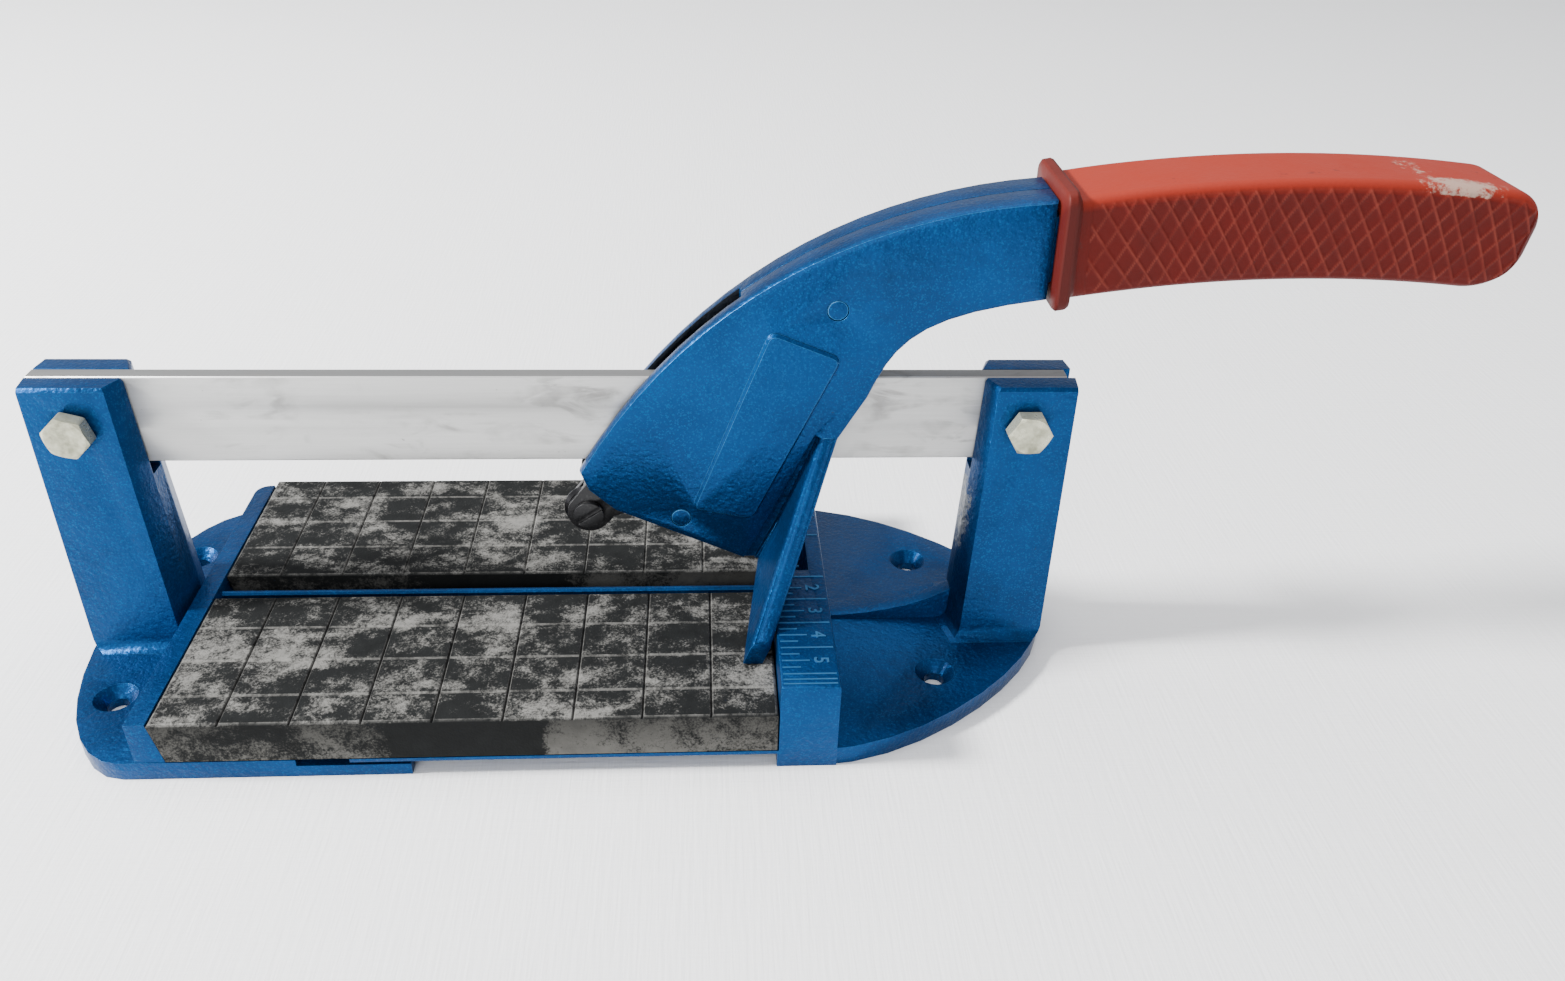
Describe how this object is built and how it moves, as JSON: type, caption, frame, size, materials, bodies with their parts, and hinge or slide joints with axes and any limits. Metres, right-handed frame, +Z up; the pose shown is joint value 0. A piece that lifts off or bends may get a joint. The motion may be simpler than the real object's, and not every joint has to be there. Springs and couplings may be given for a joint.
{
  "type": "tile cutter",
  "caption": "Small hand tile cutter: cast base with rubber pads, flat guide rail between two posts, rocking head with scoring wheel, breaker wings and rubber grip.",
  "frame": {"origin": "on the floor plane, under the middle of the pads and of the guide rail, on the flat underside of the base's centre rib", "axes": "+X along the guide rail towards the grip, +Y towards the back, +Z up"},
  "size_m": [0.3626, 0.1102, 0.1373],
  "materials": {
    "blue_paint": "metallic blue enamel, satin, chipped at the edges",
    "pad_rubber": "matte, dusty",
    "rail_steel": "brushed, greasy",
    "pin_steel": "painted over, ground flush",
    "zinc": "yellowish zinc plate",
    "bronze": "sintered bronze, oiled",
    "black_steel": "blackened, oiled",
    "grip_rubber": "dull red, diamond grooves"
  },
  "bodies": {
    "base": {"base_casting": "blue_paint", "front_pad": "pad_rubber", "rear_pad": "pad_rubber", "guide_rail": "rail_steel", "left_clamp_bolt": "zinc", "left_clamp_nut": "zinc", "right_clamp_bolt": "zinc", "right_clamp_nut": "zinc"},
    "shoe": {"rail_shoe": "bronze"},
    "saddle": {"rail_saddle": "black_steel", "keeper_pin": "rail_steel"},
    "head": {"head_front_half": "blue_paint", "head_rear_half": "blue_paint", "pivot_pin": "pin_steel", "head_rivet": "pin_steel", "wheel_holder": "black_steel", "holder_pin": "black_steel", "wheel_axle_screw": "black_steel", "wheel_axle_nut": "black_steel", "rubber_grip": "grip_rubber"},
    "wheel": {"scoring_wheel": "black_steel"}
  },
  "joints": [
    {"name": "head_slide", "type": "slide", "parent": "base", "child": "shoe", "axis": [1, 0, 0], "range_m": [-0.091, 0]},
    {"name": "head_push_off", "type": "slide", "parent": "shoe", "child": "saddle", "axis": [-1, 0, 0], "range_m": [0, 0.0095]},
    {"name": "lever_lift", "type": "hinge", "parent": "saddle", "child": "head", "pos_m": [0.051, 0, 0.0432], "axis": [0, -1, 0], "range_deg": [0, 35]},
    {"name": "wheel_spin", "type": "hinge", "parent": "head", "child": "wheel", "pos_m": [0.0266, 0, 0.0424], "axis": [0, 1, 0], "continuous": true}
  ],
  "couplings": [
    {"joint": "head_push_off", "follows": "lever_lift", "m_per_rad": 0.0154}
  ]
}
